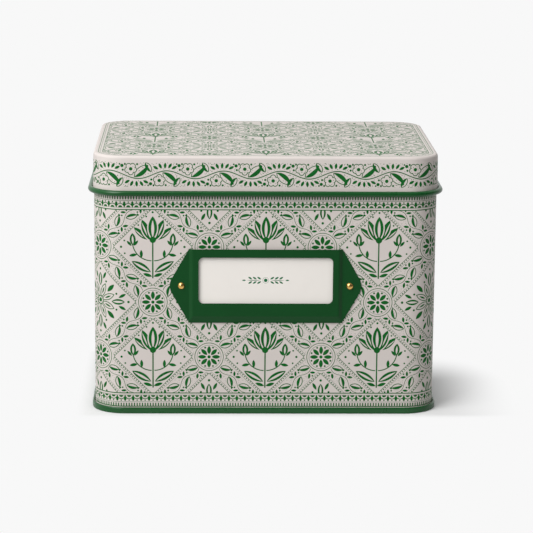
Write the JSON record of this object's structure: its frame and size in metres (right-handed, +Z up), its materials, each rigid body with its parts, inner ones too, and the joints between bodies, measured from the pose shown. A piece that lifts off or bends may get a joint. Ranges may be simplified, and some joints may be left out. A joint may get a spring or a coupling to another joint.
{
  "type": "recipe tin",
  "caption": "Rectangular tinplate box for upright recipe cards, with a hinged lid and a riveted label holder on its front.",
  "frame": {"origin": "on the surface that the tin stands on, under the middle of the body", "axes": "+X to the right along the front, +Y from the front to the hinged back, +Z up"},
  "size_m": [0.184, 0.1332, 0.1356],
  "materials": {
    "printed_tin": "satin lacquer over a green print on a pale ground",
    "green_tin": "satin green enamel",
    "plain_tin": "bare tinplate",
    "wire": "drawn steel wire",
    "brass": "polished brass",
    "card": "matt off-white card"
  },
  "bodies": {
    "tin_body": {"body_wall": "printed_tin", "base_panel": "green_tin", "label_holder": "green_tin", "hinge_strap_left": "plain_tin", "hinge_strap_right": "plain_tin", "rivet_left": "brass", "rivet_right": "brass"},
    "lid": {"lid_shell": "printed_tin", "hinge_wire_left": "wire", "hinge_wire_right": "wire"},
    "card": {"label_card": "card"}
  },
  "joints": [
    {"name": "lid_hinge", "type": "hinge", "parent": "tin_body", "child": "lid", "pos_m": [0, 0.06501, 0.1165], "axis": [-1, 0, 0], "range_deg": [0, 105]},
    {"name": "label_slide", "type": "slide", "parent": "tin_body", "child": "card", "axis": [0, 0, 1], "range_m": [0, 0.026]}
  ]
}
